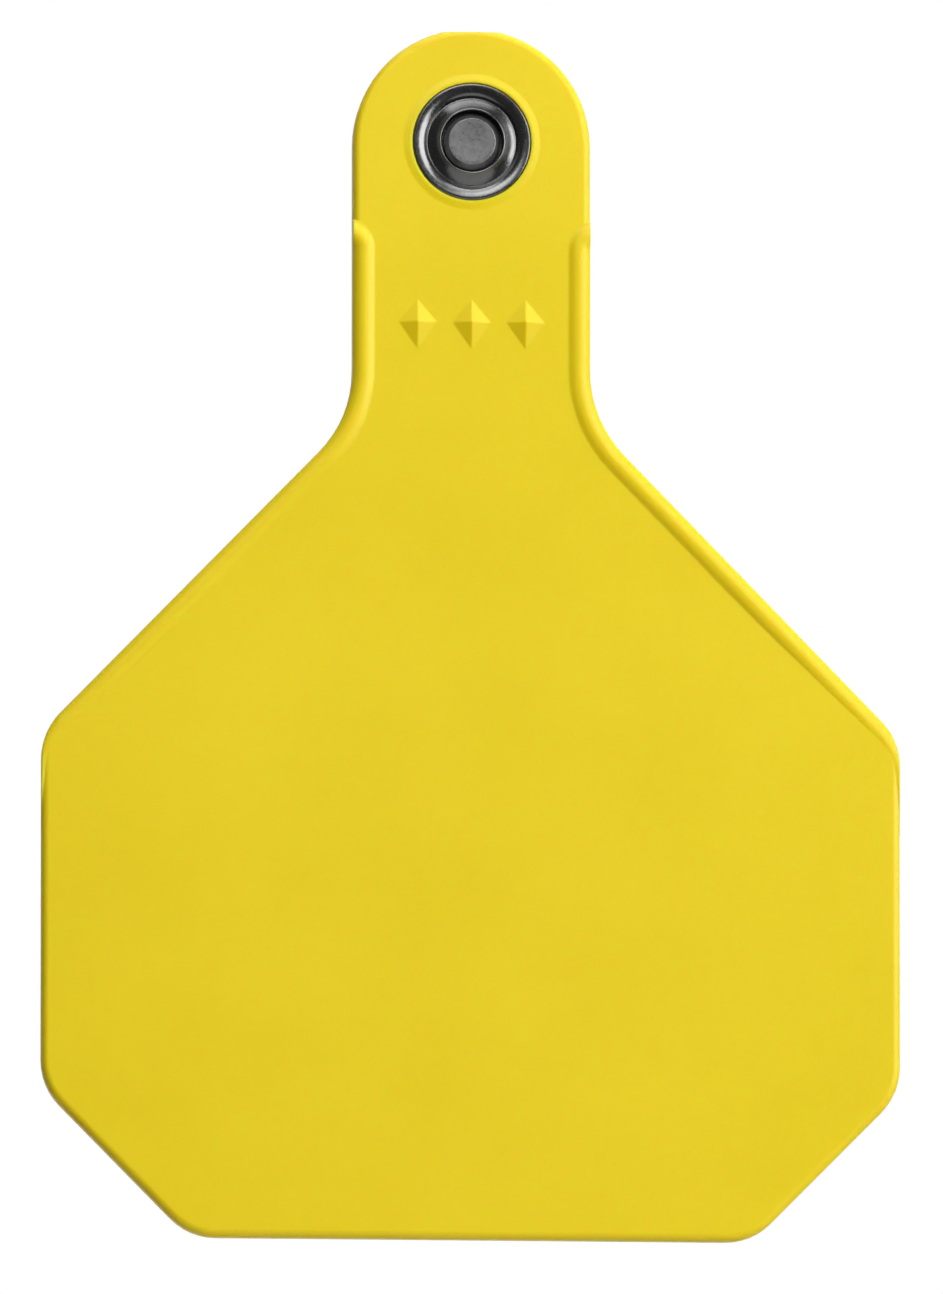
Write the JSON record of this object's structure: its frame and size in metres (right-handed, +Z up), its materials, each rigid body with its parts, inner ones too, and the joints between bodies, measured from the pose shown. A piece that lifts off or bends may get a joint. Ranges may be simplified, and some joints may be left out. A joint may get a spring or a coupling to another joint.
{
  "type": "livestock ear tag",
  "caption": "Two-piece livestock ear tag: yellow marking panel on a ribbed neck, turning on a black lock bushing that holds the barbed stud tip of a round button.",
  "frame": {"origin": "on the stud's axis, midway across the gap between the back of the lock bushing and the button, which the ear fills", "axes": "+Z runs up the neck towards the head, the marked front faces -Y, and +Y runs along the stud towards the button"},
  "size_m": [0.0762, 0.0141, 0.108],
  "materials": {
    "panel_yellow": "soft matte polyurethane with a very fine moulded grain",
    "bushing_black": "smooth hard moulding with a semi-gloss shine",
    "stud_black": "smooth hard moulding, a little duller on its blunt end",
    "button_yellow": "soft matte polyurethane with a very fine moulded grain"
  },
  "bodies": {
    "stud": {"stud_tip": "stud_black", "back_button": "button_yellow"},
    "bushing": {"lock_bushing": "bushing_black"},
    "panel": {"tag_panel": "panel_yellow"}
  },
  "joints": [
    {"name": "stem_slide", "type": "slide", "parent": "stud", "child": "bushing", "axis": [0, 1, 0], "range_m": [0, 0.005]},
    {"name": "panel_swivel", "type": "hinge", "parent": "bushing", "child": "panel", "pos_m": [0, -0.006, 0], "axis": [0, 1, 0], "continuous": true}
  ]
}
